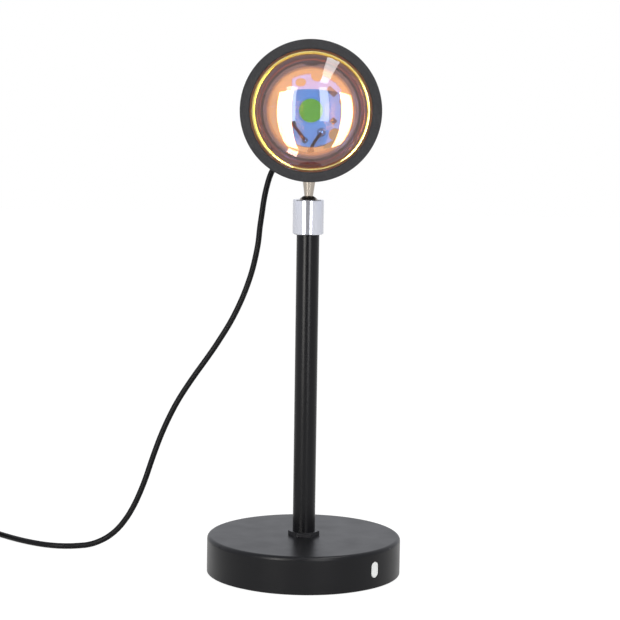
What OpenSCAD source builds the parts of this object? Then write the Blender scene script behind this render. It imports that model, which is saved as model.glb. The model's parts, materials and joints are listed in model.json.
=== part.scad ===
// Sunset projection lamp: weighted round base, slim pole, chrome ball joint and a short head
// with a domed lens over a colour filter and one LED, on a light USB cord with a push switch.
// Millimetres. The origin is the middle of the base's underside, +Z is up, the lens faces -Y.

/* [Base] */
// Diameter of the base
base_d = 100; // [92:1:120]
// Height of the base's top above the table
base_h = 19.5; // [17:0.5:26]
// Wall of the pressed steel base
base_wall = 1.2; // [0.8:0.1:2]
// Radius of the base's rounded top edge
base_edge_r = 2; // [1.4:0.2:4]
// Height of the steel rim above the table
foot_lift = 0.6; // [0.4:0.1:1.5]
// Thickness of the foam pad
pad_t = 2.4; // [1.6:0.2:3.4]
// Diameter of the cast iron weight
weight_d = 84; // [60:1:88]
// Width of the slot in the base's side
slot_w = 5; // [3:0.5:8]
// Height of the slot
slot_h = 8.2; // [6:0.2:9.4]
// Height of the slot's middle above the table
slot_z = 10; // [8:0.1:10.6]
// Direction of the slot, from the front towards +X
slot_angle = 46; // [0:1:90]

/* [Pole] */
// Outer diameter of the pole
pole_d = 11.6; // [10.4:0.1:13]
// Wall of the pole
pole_wall = 0.75; // [0.5:0.05:1.2]
// Length of the pole tube
pole_l = 154.8; // [100:0.1:320]
// Across the flats of the nut at the foot of the pole
nut_af = 14; // [13:0.5:17]
// Thickness of the nut at the foot of the pole
nut_h = 2.1; // [2:0.1:5]
// Bore of the hollow stud
nipple_bore = 6; // [3:0.5:7.5]
// Length of the stud inside the pole
nipple_grip = 12; // [6:1:30]

/* [Ball joint] */
// Diameter of the ball
ball_d = 12; // [11:0.2:12.6]
// Diameter of the chrome collar
collar_d = 15.8; // [15.4:0.1:20]
// Length of the chrome collar
collar_h = 17.6; // [17:0.1:24]
// Mouth of the collar that holds the ball
mouth_d = 9.8; // [9.2:0.1:10.2]
// Bore of the collar
collar_bore = 13.6; // [13.2:0.1:14]
// Height of the collar that hangs over the pole's end
collar_lap = 0.8; // [0.4:0.1:3]
// Narrowest part of the stem
neck_d = 4.4; // [3.4:0.1:4.4]
// Widest part of the stem, under the head
shoulder_d = 6.8; // [5:0.1:7.6]
// Thread that holds the head on the stem
stem_thread_d = 4; // [3:0.5:4.5]
// Height of the lens axis above the ball's middle
head_rise = 48.7; // [48:0.1:60]
// Sideways lean of the head as photographed
head_lean = 0.68; // [0:0.01:3]

/* [Head] */
// Diameter of the bezel ring
ring_d = 70.7; // [64:0.1:78]
// Width of the bezel's lip in front of the lens
lip_w = 4.8; // [4.6:0.1:5.6]
// Lens ring's front face to the stem's axis
head_front = 20; // [19:0.5:24]
// Stem's axis to the back of the head
head_back = 26; // [25:0.5:32]
// Depth of the bezel ring that shows
ring_h = 7.6; // [6:0.2:10]
// Thickness of the bezel's lip
lip_t = 2; // [1.4:0.1:3]
// Step from the bezel ring down to the housing
ring_step = 0.55; // [0.3:0.05:0.7]
// Wall of the housing
housing_wall = 4.8; // [4.5:0.1:6]
// Number of cooling grooves
groove_n = 4; // [1:1:4]
// Width of a cooling groove
groove_w = 1.6; // [1:0.1:2]
// Depth of a cooling groove
groove_depth = 2.6; // [1:0.1:3.4]
// Distance from one cooling groove to the next
groove_pitch = 3.2; // [2.6:0.1:3.4]
// Thickness of the rear cover
cover_t = 2; // [1.4:0.1:3]
// Number of places round the cover's vents
vent_n = 8; // [6:1:10]
// Width of a vent
vent_w = 2.2; // [1:0.1:3]
// Distance of the cord's gland below the lens axis
gland_drop = 14; // [10:0.5:17]

/* [Optics] */
// Width of the lens's rim that the bezel's lip covers
lens_lap = 0.95; // [0.7:0.05:1.2]
// Height of the lens's dome in front of its rim
dome_rise = 14.7; // [10:0.1:20]
// Thickness of the lens's rim
lens_edge_t = 1.6; // [1.2:0.1:4]
// Thickness of the colour filter
filter_t = 0.8; // [0.4:0.1:1.5]
// Thickness of the lens's soft gasket
gasket_t = 0.6; // [0.4:0.1:1]
// Depth of the reflector cup
cup_h = 10.6; // [9:0.1:12]
// Gap between the LED board and the reflector cup
cup_gap = 2.2; // [2:0.1:3]
// Diameter of the LED board
board_d = 26; // [23:0.5:27]
// Middle of the board to its left flat edge
board_left = 7; // [6:0.1:9]
// Middle of the board to its right flat edge
board_right = 10.6; // [9.5:0.1:11.4]
// Thickness of the LED board
board_t = 1.2; // [0.8:0.1:1.6]
// Diameter of the LED's round light patch
led_d = 8.4; // [6:0.1:11]
// Room between the heat sink and the housing
sink_room = 7; // [6.5:0.25:9]
// Height of the heat sink's fins
sink_fin_h = 10; // [4:0.5:11]

/* [Cord] */
// Diameter of the cord
cord_d = 3.1; // [2.8:0.1:3.2]
// Turns in one layer of the put-away coil
coil_turns = 2.25; // [1.25:1:3.25]
// Layers of the coil
coil_layers = 4; // [2:2:4]
// Space left between one turn and the next
coil_gap = 0.5; // [0.45:0.05:1]
// Width of the coil's tie
tie_w = 5; // [3:0.5:12]
// Thickness of the coil's tie
tie_t = 0.5; // [0.3:0.1:0.8]

/* [Switch and plug] */
// Length of the switch on the cord
switch_l = 36; // [34:1:48]
// Width of the switch
switch_w = 14; // [13:0.5:20]
// Height of the switch
switch_h = 10; // [10:0.5:14]
// Wall of the switch
switch_wall = 1.2; // [0.8:0.1:1.6]
// Diameter of the push button
button_d = 7.4; // [5:0.2:8]
// Travel of the push button
button_travel = 1; // [0.6:0.1:1.2]
// Length of the plug's moulded grip
plug_l = 24; // [20:1:34]
// Width of the plug's moulded grip
plug_w = 15.4; // [14:0.2:17]
// Height of the plug's moulded grip
plug_h = 8; // [7:0.2:10]
// Width of the plug's metal shell
usb_w = 12; // [12:0.1:12.2]
// Height of the plug's metal shell
usb_h = 4.5; // [4.4:0.1:4.6]
// Length of the plug's metal shell
usb_l = 12; // [10:0.1:13]

/* [Hidden] */
$fn = 96;

// Clearances
fit = 0.1;          // turned and moulded pieces that push together, each side
ball_fit = 0.1;     // ball to its seat and to the collar's lip
slide_fit = 0.2;    // push button in its hole, each side
face_gap = 0.05;    // faces that turn on each other
screw_fit = 0.15;   // screw in its hole, each side
eps = 0.01;         // overshoot of a cut

// Base and foot
edge_break = 0.4;                       // small chamfer on turned parts
base_r = base_d / 2;
inner_top = base_h - base_wall;
pad_d = base_d - 2 * base_wall - 2 * fit;
nipple_d = pole_d - 2 * pole_wall - fit;
nut_hole_d = nipple_d + 2 * fit;
washer_d = 18;
washer_t = 1;
clamp_nut_h = 3;
pocket_d = 26;                          // room for the clamp nut in the weight
pocket_roof = pad_t + clamp_nut_h + washer_t + 3;
clamp_nut_z = pocket_roof - washer_t - clamp_nut_h;
nipple_tail = 1.4;                      // stud below the clamp nut
foot_z = base_h + nut_h;                // the pole stands on the nut
hex = 2 / sqrt(3);                      // across corners from across flats
plug_lip = 1;                           // rim of the slot's blank behind the wall
plug_lip_t = 1;

// Pole top and ball joint
pole_top = foot_z + pole_l;
insert_grip = 10;                       // insert inside the pole
insert_d = collar_bore - 2 * fit;
collar_z = pole_top - collar_lap;
collar_top = collar_z + collar_h;
ball_r = ball_d / 2;
lip_r = ball_r + ball_fit;              // spherical lip inside the collar
lip_land = 0.07;                        // straight edge of the mouth
ball_z = collar_top - lip_land - sqrt(lip_r * lip_r - mouth_d * mouth_d / 4);
lip_start = 1;                          // the lip's sphere begins this far above the ball's middle
seat_d = collar_bore - 4 * fit;
seat_hole_d = 5;
seat_z = ball_z - lip_r - 0.2;
seat_h = 5.8;
spring_d = seat_d - 0.6;
spring_h = 0.8;
spring_t = 0.4;
insert_top = seat_z - spring_h - face_gap;

// Head: distances along the lens axis are lamp y values, the stem's axis is y = 0
housing_d = ring_d - 2 * ring_step;
housing_r = housing_d / 2;
housing_bore = housing_d - 2 * housing_wall;
aperture_d = ring_d - 2 * lip_w;
lens_d = aperture_d + 2 * lens_lap;
spot_depth = 0.5;                       // flat seat milled under the head
spot_d = shoulder_d + 1.4;
shoulder_z = head_rise - housing_r + spot_depth;
front_y = -head_front;
ring_back_y = front_y + ring_h;
skirt_bore = lens_d + 0.4;
skirt_d = skirt_bore + 2.6;             // bezel's skirt inside the housing
skirt_l = 4.1;
shoulder_y = ring_back_y + skirt_l + 0.3;
back_y = head_back;
cover_y = back_y - cover_t;
spigot_l = 2;
spigot_wall = 1.4;
washer_seat = head_rise - housing_bore / 2 - 0.4;   // inner flat for the stem's washer
stud_washer_d = 9;
stud_washer_t = 0.5;
stud_nut_af = 7;
stud_nut_h = 3;
stem_tail = 0.8;
groove_y = 6.4;                         // middle of the first cooling groove
rear_screw_n = 3;
rear_screw_d = 2.2;
rear_screw_l = 5;
rear_screw_r = (housing_r + housing_bore / 2) / 2;
rear_head_d = 3.8;
rear_head_h = 1.2;
vent_in = 10;
vent_out = housing_bore / 2 - 10;
gland_hole_d = 6.2;
gland_lip_d = 8.6;
gland_lip_t = 1.5;
gland_l = 14;
gland_d = 8;
gland_tip_d = 4.6;
gland_ribs = 4;

// Optics, from the bezel's lip backwards
gasket_y = front_y + lip_t;
lens_y = gasket_y + gasket_t;           // front of the lens's rim
flat_y = lens_y + lens_edge_t;          // flat back of the lens
cup_y = flat_y + filter_t;
dome_base_r = aperture_d / 2 - 0.25;
lens_r = (dome_base_r * dome_base_r + dome_rise * dome_rise) / (2 * dome_rise);
dome_y = lens_y - dome_rise + lens_r;   // middle of the dome's sphere
cup_rim_d = lens_d;
cup_rim_h = shoulder_y - cup_y;
cup_back_y = cup_y + cup_h;
cup_floor = 2;
cup_steps = 4;                          // moulded steps of the reflector
cup_mouth_r = dome_base_r - 0.6;
pad_film_t = 0.4;                       // thermal pad under the board
board_y = cup_back_y - pad_film_t;      // back of the LED board
board_front = board_y - board_t;
led_t = 0.8;
sink_d = housing_bore - 2 * sink_room;
sink_base_t = 3;
sink_y = cup_back_y + sink_base_t;
sink_fin_t = 1.4;
sink_fin_pitch = 5;
sink_fin_n = floor((sink_d / 2 - 2) / sink_fin_pitch);  // fins on each side of the middle one
sink_screw_n = 3;
sink_screw_d = 2.2;
sink_screw_r = (board_d / 2 + cup_gap + sink_d / 2) / 2;
sink_screw_grip = 3;                    // screw inside the cup
sink_head_d = 3.6;
sink_head_h = 1.4;
lead_d = 1.2;
lead_hole_d = 2.4;
red_hole = [-board_left - 1.2, 3.4];    // leads pass the heat sink here
black_hole = [0.3, board_d / 2 + cup_gap / 2];
red_pad = [-1.9, 10.6];                 // and end on these solder pads
black_pad = [3.9, 7.6];

// Coil and tie
cord_r = cord_d / 2;
coil_centre = [-200, 68.5];
coil_pitch = cord_d + coil_gap;
coil_in = 5.5 * cord_d - coil_pitch * coil_turns / 2;
coil_out = coil_in + coil_pitch * coil_turns;
coil_start = 45;                        // direction of the coil's first point
coil_z = cord_r + tie_t + 0.05;
coil_top_z = coil_z + (coil_layers - 1) * coil_pitch;
coil_steps = 24;                        // rings in one loop
coil_loops = coil_turns * coil_layers;
tie_angle = 270;
tie_room = 0.2;

// Switch and plug, on a line along -Y beside the coil
switch_x = -233;
switch_y = 46;                          // end of the switch where the cord comes in
switch_mid = switch_h / 2;
switch_r = 4;                           // rounded corners of the switch
button_proud = 1.6;
button_flange = 1;                      // how far the flange reaches under the cover
button_flange_t = 1;
button_stem_d = 3;
unit_l = 9;
unit_h = 2.6;
switch_screw_d = 1.8;
plug_y = 2;                             // rear end of the plug's grip
plug_mid = plug_h / 2;
plug_tail = 8;                          // tapered sleeve on the plug
plug_tail_d = 5;
usb_wall = 0.4;
tongue_w = 11;
tongue_h = 1.8;
contact_n = 4;
contact_w = 1;
contact_t = 0.2;

// Where the free cord runs, chosen by hand
hanging_route = [
    [0.4, back_y + gland_l, 224.2], [0.4, 47, 224.2], [-1.5, 54, 223.2], [-6, 59.5, 220.2],
    [-12, 61.5, 216], [-17, 61.5, 210], [-20.5, 60, 203.5], [-22.6, 58.5, 196.5],
    [-24, 57.5, 189.5], [-25, 57, 182], [-26, 56, 174.5], [-26.7, 55.5, 167], [-28, 55, 159.5],
    [-29.7, 54.5, 152], [-32, 54, 144.5], [-34.8, 53.5, 137], [-38, 53, 129.8],
    [-41.6, 52.5, 122.8], [-45.8, 52, 115.8], [-50, 51.5, 109.2], [-54.6, 51, 102.5],
    [-59.2, 50.5, 96], [-63.8, 50, 89.2], [-68.2, 49.5, 82.2], [-72, 49, 75.2],
    [-75.4, 48.5, 68], [-78.4, 48, 60.8], [-81.1, 47.5, 53.4], [-83.6, 47, 46],
    [-86, 46.5, 38.6], [-88.8, 46, 31.2], [-92, 45.5, 24], [-96, 45, 17], [-101, 45, 10.6],
    [-107, 44.9, 5.7], [-113.5, 44.4, 2.7], [-118.5, 43.5, 1.7]
];
table_route = [
    [-118.5, 43.5, 1.7], [-125.5, 41.5, 1.6], [-133, 41.5, 1.6], [-140.5, 44, 1.6],
    [-147, 47.8, 1.6], [-153.3, 52.4, 1.6], [-159.2, 57.6, 1.6], [-165, 63.3, 1.6],
    [-170.8, 69, 1.7], [-176.5, 74.7, 1.9], [-181.5, 79.7, 2.1]
];
lead_out_route = [
    [-190, 87.5, 12.7], [-196, 91, 12], [-203, 92.6, 10.9], [-210.5, 92, 9.6],
    [-217.7, 89, 8.4], [-224, 84.3, 7.3], [-228.8, 78, 6.3], [-231.8, 70.5, 5.6],
    [-232.8, 62.5, 5.2]
];
cord_sides = 8;
coil_sides = 6;

// Helpers ---------------------------------------------------------------------------------

function unit(v) = v / norm(v);

// Direction of a route at each of its points.
function headings(p) = [
    for (i = [0 : len(p) - 1])
        unit(p[min(i + 1, len(p) - 1)] - p[max(i - 1, 0)])
];

// A side vector at each point that turns as little as it can.
function side_of(n, t) = unit(n - (n * t) * t);
function sides_along(t) = [
    for (i = 0, n = side_of([0.3, 0.2, 1], t[0]);
         i < len(t);
         i = i + 1, n = i < len(t) ? side_of(n, t[i]) : n)
        n
];

// Round tube along a route; the faces are triangles.
module tube_along(p, r, sides) {
    t = headings(p);
    n = sides_along(t);
    rings = [
        for (i = [0 : len(p) - 1], k = [0 : sides - 1])
            p[i] + r * (cos(360 * k / sides) * n[i] + sin(360 * k / sides) * cross(t[i], n[i]))
    ];
    last = (len(p) - 1) * sides;
    walls = [
        for (i = [0 : len(p) - 2], k = [0 : sides - 1], half = [0, 1])
            let (a = i * sides + k, b = i * sides + (k + 1) % sides)
                half == 0 ? [a, b + sides, b] : [a, a + sides, b + sides]
    ];
    ends = [
        for (k = [1 : sides - 2], far = [0, 1])
            far == 0 ? [0, k, k + 1] : [last, last + k + 1, last + k]
    ];
    polyhedron(points = rings, faces = concat(walls, ends));
}

// Flat obround of a whole length and width, along X.
module obround(l, w) {
    square([l - w, w], center = true);
    for (side = [-1, 1])
        translate([side * (l - w) / 2, 0]) circle(d = w);
}

// Rectangle with round corners.
module round_rect(w, l, r) {
    square([w - 2 * r, l], center = true);
    square([w, l - 2 * r], center = true);
    for (x = [-1, 1], y = [-1, 1])
        translate([x * (w / 2 - r), y * (l / 2 - r)]) circle(r = r);
}

// Disc or ring between two heights.
module ring(z0, z1, d, hole = 0) {
    translate([0, 0, z0]) difference() {
        cylinder(d = d, h = z1 - z0);
        if (hole > 0) translate([0, 0, -eps]) cylinder(d = hole, h = z1 - z0 + 2 * eps);
    }
}

module hex_nut(z0, h, af, hole) {
    translate([0, 0, z0]) difference() {
        cylinder(d = af * hex, h = h, $fn = 6);
        translate([0, 0, -eps]) cylinder(d = hole, h = h + 2 * eps);
    }
}

// The head and its stem lean together about the ball's middle.
module leaned() {
    translate([0, 0, ball_z]) rotate([0, head_lean, 0]) children();
}

// Children drawn about Z end up about the lens axis: their z is the lamp's y.
module about_lens() {
    leaned() translate([0, 0, head_rise]) rotate([-90, 0, 0]) children();
}

// Places round the lens axis, the first one at the top.
module round_lens(n, r, start = -90) {
    for (i = [0 : n - 1])
        rotate([0, 0, start + 360 * i / n]) translate([r, 0, 0]) children();
}

// Base --------------------------------------------------------------------------------------

// Obround prism that points out of the base's side at the slot.
module slot_prism(w, h) {
    rotate([0, 0, slot_angle - 90]) translate([base_r - 15, 0, slot_z])
        rotate([0, 90, 0]) linear_extrude(30) obround(h, w);
}

module base_profile(r, top, edge) {
    square([r, top - edge]);
    square([r - edge, top]);
    translate([r - edge, top - edge]) circle(r = edge);
}

module base_shell() {
    color("#2b2b2e") difference() {
        translate([0, 0, foot_lift])
            rotate_extrude() base_profile(base_r, base_h - foot_lift, base_edge_r);
        translate([0, 0, foot_lift - eps]) rotate_extrude()
            base_profile(base_r - base_wall, inner_top - foot_lift + eps,
                         max(base_edge_r - base_wall, 0.2));
        cylinder(d = nut_hole_d, h = base_h + 1);
        slot_prism(slot_w, slot_h);
    }
}

module slot_plug() {
    wall_in = base_r - base_wall;
    color("#f4f4f2") {
        intersection() {
            ring(0, base_h, base_d - 0.3, 2 * (wall_in - plug_lip_t / 2));
            slot_prism(slot_w - 2 * fit, slot_h - 2 * fit);
        }
        intersection() {
            ring(0, base_h, 2 * wall_in, 2 * (wall_in - plug_lip_t));
            slot_prism(slot_w + 2 * plug_lip, slot_h + 2 * plug_lip);
        }
    }
}

module counterweight() {
    color("#55565a") difference() {
        ring(pad_t, inner_top, weight_d, nut_hole_d);
        translate([0, 0, pad_t - eps]) cylinder(d = pocket_d, h = pocket_roof - pad_t + eps);
    }
}

module foot_pad() {
    color("#1d1d1f") ring(0, pad_t, pad_d);
}

module base_nut() {
    color("#232326") hex_nut(base_h, nut_h, nut_af, nut_hole_d);
}

module base_washer() {
    color("#b9bbbd") ring(pocket_roof - washer_t, pocket_roof, washer_d, nut_hole_d);
}

module clamp_nut() {
    color("#b9bbbd") hex_nut(clamp_nut_z, clamp_nut_h, nut_af, nut_hole_d);
}

module nipple() {
    color("#c4b27a")
        ring(clamp_nut_z - nipple_tail, foot_z + nipple_grip, nipple_d, nipple_bore);
}

// Pole --------------------------------------------------------------------------------------

module pole_tube() {
    color("#242427") ring(foot_z, pole_top, pole_d, pole_d - 2 * pole_wall);
}

module pole_plug() {
    color("#c4b27a") {
        ring(pole_top - insert_grip, pole_top + eps, nipple_d);
        ring(pole_top, insert_top, insert_d);
    }
}

// Ball joint ----------------------------------------------------------------------------------

// Dished spring washer between the insert and the seat.
module seat_spring() {
    color("#a9abad") translate([0, 0, insert_top]) rotate_extrude()
        polygon([
            [seat_hole_d / 2, spring_h - spring_t], [spring_d / 2, 0],
            [spring_d / 2, spring_t], [seat_hole_d / 2, spring_h]
        ]);
}

module ball_seat() {
    color("#e9e7df") difference() {
        ring(seat_z, seat_z + seat_h, seat_d, seat_hole_d);
        translate([0, 0, ball_z]) sphere(r = lip_r);
    }
}

module socket_collar() {
    color("#d9dbe2") difference() {
        translate([0, 0, collar_z]) rotate_extrude()
            polygon([
                [0, 0], [collar_d / 2 - edge_break, 0], [collar_d / 2, edge_break],
                [collar_d / 2, collar_h - edge_break], [collar_d / 2 - edge_break, collar_h],
                [0, collar_h]
            ]);
        translate([0, 0, collar_z - eps])
            cylinder(d = collar_bore, h = ball_z + lip_start - collar_z);
        translate([0, 0, ball_z]) sphere(r = lip_r);
        translate([0, 0, ball_z]) cylinder(d = mouth_d, h = ball_r + 5);
    }
}

module ball_stud() {
    neck_z = sqrt(ball_r * ball_r - neck_d * neck_d / 4);
    thread_top = washer_seat + stud_washer_t + face_gap + stud_nut_h + stem_tail;
    color("#b8ad9e") leaned() {
        sphere(d = ball_d);
        translate([0, 0, neck_z - eps])
            cylinder(d1 = neck_d, d2 = shoulder_d, h = shoulder_z - neck_z + eps);
        translate([0, 0, shoulder_z - eps])
            cylinder(d = stem_thread_d, h = thread_top - shoulder_z + eps);
    }
}

module stud_washer() {
    color("#b9bbbd") leaned()
        ring(washer_seat, washer_seat + stud_washer_t, stud_washer_d, stem_thread_d + 2 * fit);
}

module stud_nut() {
    color("#b9bbbd") leaned()
        hex_nut(washer_seat + stud_washer_t + face_gap, stud_nut_h, stud_nut_af, stem_thread_d);
}

// Head ----------------------------------------------------------------------------------------

module bezel_ring() {
    outer = ring_d / 2;
    bore = aperture_d / 2;
    skirt_end = ring_back_y + skirt_l;
    color("#3b3b3d") about_lens() rotate_extrude()
        polygon([
            [bore, front_y + edge_break], [bore + edge_break, front_y],
            [outer - edge_break, front_y], [outer, front_y + edge_break],
            [outer, ring_back_y], [skirt_d / 2, ring_back_y],
            [skirt_d / 2, skirt_end], [skirt_bore / 2, skirt_end],
            [skirt_bore / 2, gasket_y], [bore, gasket_y]
        ]);
}

module lens_gasket() {
    color("#26262a") about_lens() ring(gasket_y, lens_y, lens_d, 2 * dome_base_r + 0.6);
}

// Flat-backed dome with a thin cylindrical rim.
module lens() {
    color("#dfe9f5", 0.5) about_lens() {
        ring(lens_y, flat_y, lens_d);
        intersection() {
            translate([0, 0, dome_y]) sphere(r = lens_r);
            translate([0, 0, dome_y - lens_r - 1])
                cylinder(r = dome_base_r, h = lens_y + lens_r + 1 - dome_y + eps);
        }
    }
}

module filter_disc() {
    color("#f0a45e", 0.8) about_lens() ring(flat_y, cup_y, lens_d);
}

// Stepped cone that faces the LED to the lens.
module lamp_cup() {
    hole_r = board_d / 2 + cup_gap;
    floor_y = cup_back_y - cup_floor;
    run = (cup_mouth_r - hole_r) / cup_steps;
    fall = (floor_y - cup_y) / cup_steps;
    steps = [
        for (i = [0 : cup_steps - 1], half = [0, 1])
            [cup_mouth_r - (i + half) * run, cup_y + i * fall + half * fall * 0.55]
    ];
    color("#8a6a5c") about_lens() difference() {
        rotate_extrude() polygon(concat(
            [[cup_rim_d / 2, cup_y]], steps,
            [
                [hole_r, floor_y], [hole_r, cup_back_y],
                [sink_d / 2 + 0.5, cup_back_y], [sink_d / 2 + 0.5, cup_back_y - cup_floor * 2],
                [cup_mouth_r - 2, cup_y + cup_rim_h], [cup_rim_d / 2, cup_y + cup_rim_h]
            ]
        ));
        round_lens(sink_screw_n, sink_screw_r, 30)
            translate([0, 0, cup_back_y - sink_screw_grip])
                cylinder(d = sink_screw_d, h = sink_screw_grip + eps);
    }
}

// Round board with two flat sides, a notch at the top, an oblong hole and two bites at the right.
module led_board() {
    color("#eef0f5") about_lens() difference() {
        intersection() {
            ring(board_front, board_y, board_d);
            translate([-board_left, -board_d, board_front - 1])
                cube([board_left + board_right, 2 * board_d, board_t + 2]);
        }
        translate([1.75, 0.6 - board_d / 2, board_front - eps])
            cylinder(d = 4.2, h = board_t + 2 * eps);
        translate([-3.9, -9.9, board_front - eps])
            linear_extrude(board_t + 2 * eps) rotate(-4) obround(3.8, 2.9);
        for (spot = [[8.7, 8.2, 4.4], [board_right + 0.3, -3.4, 2]])
            translate([spot[0], spot[1], board_front - eps])
                cylinder(d = spot[2], h = board_t + 2 * eps);
    }
}

module led_cob() {
    color("#e3cf4a") about_lens() ring(board_front - led_t, board_front, led_d);
}

// Resistor, two small capacitors and the two solder pads on the board.
module board_parts() {
    color("#5b5148") about_lens() translate([0, 0, board_front]) {
        translate([7.3, -7, -0.3]) rotate(42) cube([3.9, 2, 0.6], center = true);
        translate([8.1, 3.5, -0.25]) rotate(45) cube([2, 2, 0.5], center = true);
        translate([-5.7, 4.6, -0.25]) rotate(60) cube([1.6, 0.9, 0.5], center = true);
        translate(concat(red_pad, -0.15)) cylinder(d = 2.2, h = 0.3, center = true);
        translate(concat(black_pad, -0.15)) cylinder(d = 3, h = 0.3, center = true);
    }
}

module thermal_pad() {
    color("#3c3d40") about_lens() difference() {
        ring(board_y, cup_back_y, board_d + 2 * cup_gap - 4 * fit);
        for (hole = [red_hole, black_hole])
            translate(concat(hole, board_y - eps))
                cylinder(d = lead_hole_d, h = pad_film_t + 2 * eps);
    }
}

// Aluminium base plate with straight fins behind the board.
module heat_sink() {
    color("#a7a9ad") about_lens() difference() {
        union() {
            ring(cup_back_y, sink_y, sink_d);
            intersection() {
                ring(sink_y - eps, sink_y + sink_fin_h, sink_d);
                for (x = [-sink_fin_n : sink_fin_n])
                    translate([x * sink_fin_pitch - sink_fin_t / 2, -sink_d / 2, sink_y - eps])
                        cube([sink_fin_t, sink_d, sink_fin_h + eps]);
            }
        }
        for (hole = [red_hole, black_hole])
            translate(concat(hole, cup_back_y - eps))
                cylinder(d = lead_hole_d, h = sink_base_t + sink_fin_h + 2 * eps);
        round_lens(sink_screw_n, sink_screw_r, 30) {
            translate([0, 0, cup_back_y - eps])
                cylinder(d = sink_screw_d + 2 * screw_fit, h = sink_base_t + 2 * eps);
            translate([0, 0, sink_y])
                cylinder(d = sink_head_d + 1, h = sink_fin_h + 1);
        }
    }
}

module screw(d, l, head_d, head_h) {
    ring(-l, eps, d);
    difference() {
        ring(0, head_h, head_d);
        translate([0, 0, head_h / 2]) for (turn = [0, 90])
            rotate(turn) translate([-head_d / 3, -0.3, 0]) cube([head_d / 1.5, 0.6, head_h]);
    }
}

module sink_screws() {
    color("#c9cbcf") about_lens() round_lens(sink_screw_n, sink_screw_r, 30)
        translate([0, 0, sink_y])
            screw(sink_screw_d, sink_base_t + sink_screw_grip - 0.3, sink_head_d, sink_head_h);
}

// One lead from the gland through the heat sink to its pad on the board.
module lead(hole, pad, side) {
    floor_y = board_front - lead_d / 2 - 0.4;
    loose = ([side, gland_drop] + hole) / 2;
    tube_along([
        [side, gland_drop, cover_y - gland_lip_t], [side, gland_drop, cover_y - 5],
        concat(loose, sink_y + sink_fin_h + 3.2), concat(hole, sink_y + sink_fin_h - 1),
        concat(hole, cup_back_y), concat(hole, board_front - 0.2),
        concat(hole * 0.88 + pad * 0.12, floor_y), concat((hole + pad) / 2, floor_y),
        concat(pad, floor_y)
    ], lead_d / 2, cord_sides);
}

module lead_red() {
    color("#a23327") about_lens() lead(red_hole, red_pad, -1);
}

module lead_black() {
    color("#2a2422") about_lens() lead(black_hole, black_pad, 1);
}

// Thick-walled can with cooling grooves, a seat for the bezel's skirt and one for the stem.
module housing() {
    color("#333336") difference() {
        about_lens() difference() {
            ring(ring_back_y, cover_y, housing_d, housing_bore);
            ring(ring_back_y - eps, shoulder_y, skirt_d + 2 * fit);
            for (i = [0 : groove_n - 1])
                ring(groove_y + i * groove_pitch - groove_w / 2,
                     groove_y + i * groove_pitch + groove_w / 2,
                     housing_d + 2, housing_d - 2 * groove_depth);
            round_lens(rear_screw_n, rear_screw_r)
                translate([0, 0, cover_y - rear_screw_l])
                    cylinder(d = rear_screw_d, h = rear_screw_l + eps);
        }
        leaned() {
            translate([0, 0, shoulder_z - 3]) cylinder(d = spot_d, h = 3);
            translate([0, 0, washer_seat]) cylinder(d = stud_washer_d + 1, h = 3);
            cylinder(d = stem_thread_d + 2 * fit, h = head_rise - 15);
        }
    }
}

module rear_cover() {
    spigot_d = housing_bore - 2 * fit;
    color("#2e2e31") about_lens() difference() {
        union() {
            rotate_extrude() polygon([
                [0, cover_y], [housing_r, cover_y], [housing_r, back_y - 1],
                [housing_r - 1, back_y], [0, back_y]
            ]);
            ring(cover_y - spigot_l, cover_y + eps, spigot_d, spigot_d - 2 * spigot_wall);
        }
        round_lens(rear_screw_n, rear_screw_r) {
            translate([0, 0, cover_y - eps])
                cylinder(d = rear_screw_d + 2 * screw_fit, h = cover_t + 1);
        }
        for (i = [1 : vent_n - 1])
            rotate([0, 0, 90 + 360 * i / vent_n])
                translate([(vent_in + vent_out) / 2, 0, cover_y - eps])
                    linear_extrude(cover_t + 1) obround(vent_out - vent_in, vent_w);
        translate([0, gland_drop, cover_y - eps])
            cylinder(d = gland_hole_d, h = cover_t + 1);
    }
}

module rear_screws() {
    color("#4a4a4d") about_lens() round_lens(rear_screw_n, rear_screw_r)
        translate([0, 0, back_y])
            screw(rear_screw_d, cover_t + rear_screw_l - 0.5, rear_head_d, rear_head_h);
}

// Tapered sleeve moulded on the cord, with a lip behind the rear cover.
module cord_gland() {
    color("#232325") about_lens() translate([0, gland_drop, 0]) difference() {
        union() {
            ring(cover_y - gland_lip_t, cover_y, gland_lip_d);
            ring(cover_y - eps, back_y + eps, gland_hole_d - 2 * fit);
            translate([0, 0, back_y])
                cylinder(d1 = gland_d, d2 = gland_tip_d, h = gland_l);
        }
        for (i = [0 : gland_ribs - 1])
            translate([0, 0, back_y + 3 + i * 2.6]) ring(0, 1.1, gland_d + 1, gland_tip_d);
    }
}

// Cord ----------------------------------------------------------------------------------------

module cord_hanging() {
    color("#1f1f21") tube_along(hanging_route, cord_r, cord_sides);
}

module cord_table() {
    first = coil_point(0);
    color("#1f1f21") tube_along(concat(table_route, [first]), cord_r, cord_sides);
}

// A point of the coil, u turns from its start: the spiral runs in and out in turn, and climbs
// one layer in the half turn about each reversal.
function fold(u) = abs(u % (2 * coil_turns) - coil_turns);
function climb(x) = let (c = min(max(x, -0.25), 0.25)) 0.5 + 0.5 * sin(360 * c);
function coil_level(u) = coil_layers < 2 ? 0 : lift_sum(u, coil_layers - 1);
function lift_sum(u, k) = k < 1 ? 0 : climb(u - k * coil_turns) + lift_sum(u, k - 1);
function coil_radius(u) = coil_in + coil_pitch * fold(u);
function coil_point(u) = [
    coil_centre[0] + coil_radius(u) * cos(coil_start + 360 * u),
    coil_centre[1] + coil_radius(u) * sin(coil_start + 360 * u),
    coil_z + coil_pitch * coil_level(u)
];
coil_route = [for (i = [0 : coil_loops * coil_steps]) coil_point(i / coil_steps)];

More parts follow.
